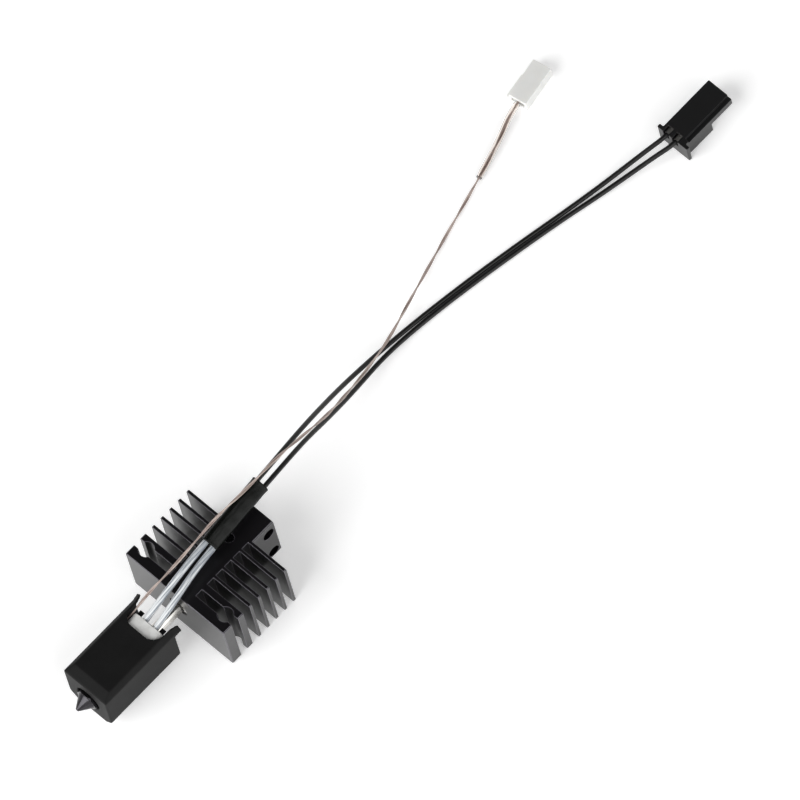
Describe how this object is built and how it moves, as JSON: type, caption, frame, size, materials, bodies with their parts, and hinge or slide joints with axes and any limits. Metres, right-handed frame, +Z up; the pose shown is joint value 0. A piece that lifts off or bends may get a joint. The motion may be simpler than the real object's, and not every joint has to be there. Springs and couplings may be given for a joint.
{
  "type": "3D printer hotend",
  "caption": "Hotend with a finned heatsink, ceramic heater in a silicone sock, hardened nozzle, and heater and thermistor leads with their connectors.",
  "frame": {"origin": "centre of the underside of the hotend lying on the back of its heatsink, on the surface it lies on, midway between nozzle tip and block top", "axes": "+Y along the filament axis from nozzle tip to filament inlet, +X to the right across the heatsink, +Z up, out of the heatsink's front face"},
  "size_m": [0.065, 0.2693, 0.032],
  "materials": {
    "black_anodised_aluminium": "satin",
    "bright_steel": "polished",
    "white_ptfe": "satin",
    "dark_steel": "satin",
    "plated_copper": "satin",
    "white_ceramic": "matte",
    "spring_steel": "satin",
    "black_silicone": "matte",
    "black_wire_insulation": "satin",
    "glass_fibre_sleeve": "matte",
    "black_shrink_tube": "satin",
    "tinned_copper": "satin",
    "thermistor_insulation": "satin",
    "clear_shrink_tube": "gloss",
    "black_nylon": "satin",
    "white_nylon": "satin"
  },
  "bodies": {
    "hotend": {"heatsink": "black_anodised_aluminium", "heatbreak": "bright_steel", "ptfe_liner": "white_ptfe", "heatbreak_grub_screw": "dark_steel", "heater_core": "plated_copper", "ceramic_heater_ring": "white_ceramic", "terminal_potting": "white_ceramic", "retainer_clip": "spring_steel", "thermistor_capsule": "spring_steel", "nozzle": "dark_steel", "heater_lead_left": "black_wire_insulation", "heater_lead_right": "black_wire_insulation", "glass_sleeve_left": "glass_fibre_sleeve", "glass_sleeve_right": "glass_fibre_sleeve", "shrink_sleeve": "black_shrink_tube", "crimp_ferrules": "tinned_copper", "thermistor_leads": "thermistor_insulation", "clear_tube": "clear_shrink_tube", "heater_connector_housing": "black_nylon", "heater_connector_terminals": "tinned_copper", "thermistor_connector_housing": "white_nylon", "thermistor_connector_terminals": "tinned_copper"},
    "sock": {"silicone_sock": "black_silicone"}
  },
  "joints": [
    {"name": "sock_pull_off", "type": "slide", "parent": "hotend", "child": "sock", "axis": [0, -1, 0], "range_m": [0, 0.04]}
  ]
}
